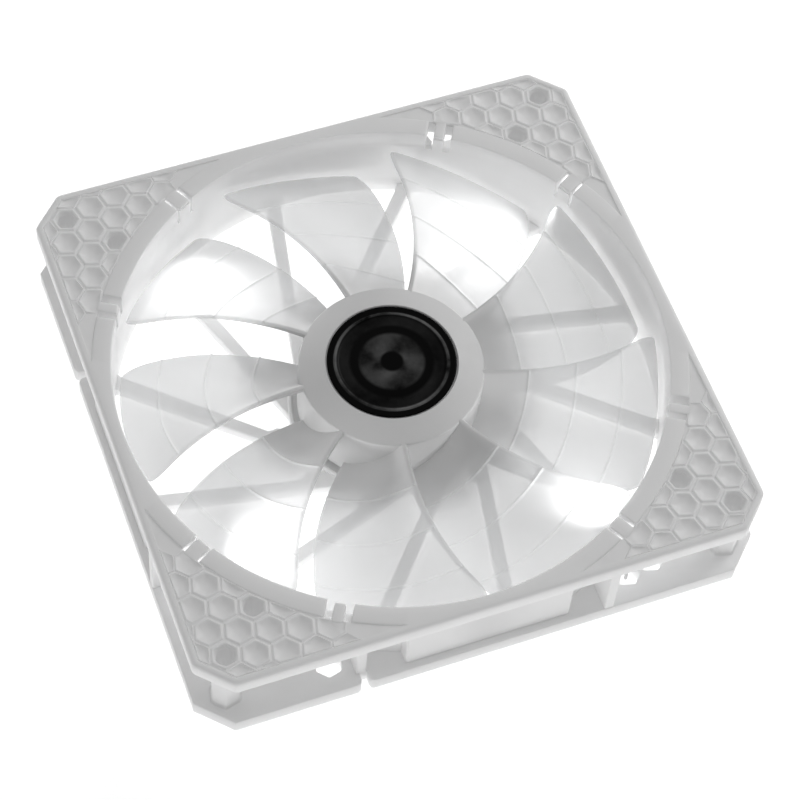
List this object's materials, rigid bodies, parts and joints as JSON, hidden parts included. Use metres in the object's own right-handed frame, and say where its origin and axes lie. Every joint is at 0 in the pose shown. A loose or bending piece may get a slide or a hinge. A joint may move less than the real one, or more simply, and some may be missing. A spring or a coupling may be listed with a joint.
{
  "type": "computer case fan",
  "caption": "Square axial cooling fan for a computer case: open-sided moulded frame with honeycomb corners and edge LEDs, and a bladed rotor on a hub motor.",
  "frame": {"origin": "middle of the rear (exhaust) face, on the fan's axis", "axes": "+Z along the fan's axis from the exhaust face to the intake face; +X and +Y square to the frame's sides"},
  "size_m": [0.14, 0.14, 0.025],
  "materials": {
    "frame_white": "fine matte moulding",
    "blade_clear": "translucent milky white",
    "badge_black": "satin print with plain rings",
    "brass": "turned",
    "bronze": "sintered bronze",
    "steel": "ground",
    "lamination": "stamped electrical steel",
    "magnet": "ferrite",
    "copper": "enamelled copper wire",
    "nylon": "nylon",
    "board_green": "solder mask",
    "chip_black": "moulded epoxy",
    "label_paper": "blank film label",
    "led_clear": "water-clear epoxy, lit white",
    "lead_white": "insulated wire"
  },
  "bodies": {
    "housing": {"frame": "frame_white", "bearing_tube": "brass", "bearing_sleeve": "bronze", "thrust_pad": "nylon", "oil_seal": "nylon", "stator_core": "lamination", "insulator_lower": "nylon", "insulator_upper": "nylon", "winding_1": "copper", "winding_2": "copper", "winding_3": "copper", "winding_4": "copper", "driver_board": "board_green", "hall_sensor": "chip_black", "driver_chip": "chip_black", "smoothing_capacitor": "steel", "rear_label": "label_paper", "led_1": "led_clear", "led_2": "led_clear", "led_3": "led_clear", "led_4": "led_clear", "led_lead_1": "lead_white", "led_lead_2": "lead_white", "led_lead_3": "lead_white", "led_lead_4": "lead_white"},
    "rotor": {"impeller": "blade_clear", "hub_badge": "badge_black", "rotor_yoke": "steel", "ring_magnet": "magnet", "shaft_bush": "brass", "shaft": "steel", "shaft_clip": "steel"}
  },
  "joints": [
    {"name": "rotor_spin", "type": "hinge", "parent": "housing", "child": "rotor", "pos_m": [0, 0, 0.0125], "axis": [0, 0, 1], "continuous": true}
  ]
}
